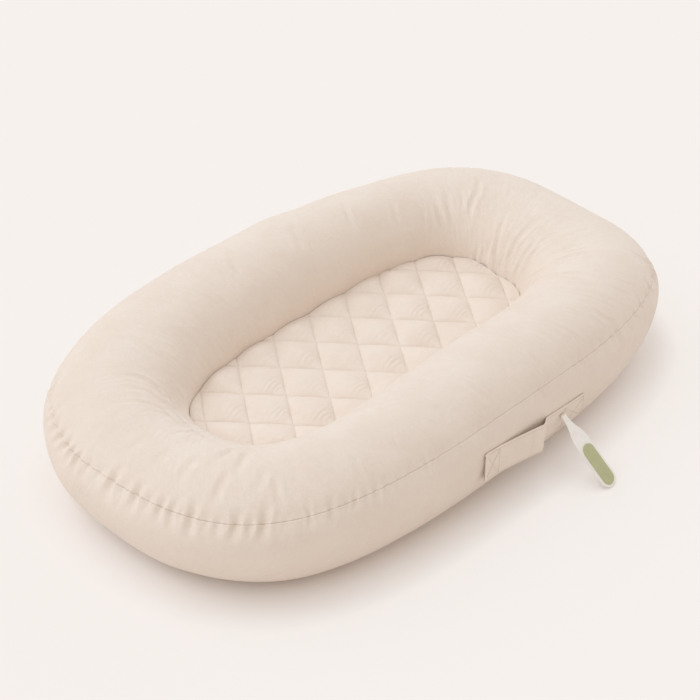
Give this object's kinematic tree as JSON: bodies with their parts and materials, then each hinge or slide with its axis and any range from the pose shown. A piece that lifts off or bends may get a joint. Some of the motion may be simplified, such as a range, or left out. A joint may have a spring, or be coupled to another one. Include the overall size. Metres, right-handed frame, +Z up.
{
  "type": "infant lounger",
  "caption": "Padded oval ring round a quilted bed, in a zipped cotton cover with a side carry handle and a hang tag.",
  "frame": {"origin": "middle of the lounger's length and width, on the floor, on the underside of the base panel", "axes": "+X along the lounger to the head end, -Y to the long side with the carry handle, +Z up"},
  "size_m": [0.7908, 0.5475, 0.1697],
  "materials": {
    "cover_cotton": "brushed cotton, warm cream, matte",
    "quilt_cotton": "quilted brushed cotton, warm cream, matte",
    "strap_cotton": "doubled cotton strap, edge stitched",
    "lining_cotton": "plain undyed cotton",
    "fibre_fill": "white polyester fibre",
    "zip_tape": "woven polyester tape",
    "zip_nylon": "nylon coil",
    "zip_metal": "cream enamelled zinc",
    "tag_card": "stiff off-white board",
    "tag_sage": "plain sage green print"
  },
  "bodies": {
    "root": {"upper_cover": "cover_cotton", "lower_cover": "cover_cotton", "ring_liner": "lining_cotton", "ring_filling": "fibre_fill", "bed_face": "quilt_cotton", "bed_backing": "lining_cotton", "bed_core": "fibre_fill", "base_panel": "lining_cotton", "base_flap": "lining_cotton", "zip_tape_near": "zip_tape", "zip_tape_far": "zip_tape", "zip_coil_near": "zip_nylon", "zip_coil_far": "zip_nylon", "zip_stop_foot": "zip_metal", "zip_stop_head": "zip_metal", "handle_end_foot": "strap_cotton", "handle_end_head": "strap_cotton", "tag_tab": "strap_cotton"},
    "handle_span": {"handle_span": "strap_cotton"},
    "hang_tag": {"tag_card": "tag_card", "tag_inlay": "tag_sage"},
    "zip_slider": {"zip_slider": "zip_metal"},
    "zip_pull": {"zip_pull": "zip_metal"}
  },
  "joints": [
    {"name": "handle_swing", "type": "hinge", "parent": "root", "child": "handle_span", "pos_m": [-0.01448, -0.24015, 0.0975], "axis": [-0.9934, -0.0662, 0.094], "range_deg": [0, 60]},
    {"name": "tag_swing", "type": "hinge", "parent": "root", "child": "hang_tag", "pos_m": [0.09544, -0.23719, 0.07748], "axis": [-0.9968, -0.0797, 0], "range_deg": [0, 80]},
    {"name": "zip_slide", "type": "slide", "parent": "root", "child": "zip_slider", "axis": [1, 0, 0], "range_m": [0, 0.324]},
    {"name": "zip_pull_turn", "type": "hinge", "parent": "zip_slider", "child": "zip_pull", "pos_m": [-0.162, 0.085, 0.0035], "axis": [0, 1, 0], "range_deg": [0, 150]}
  ]
}
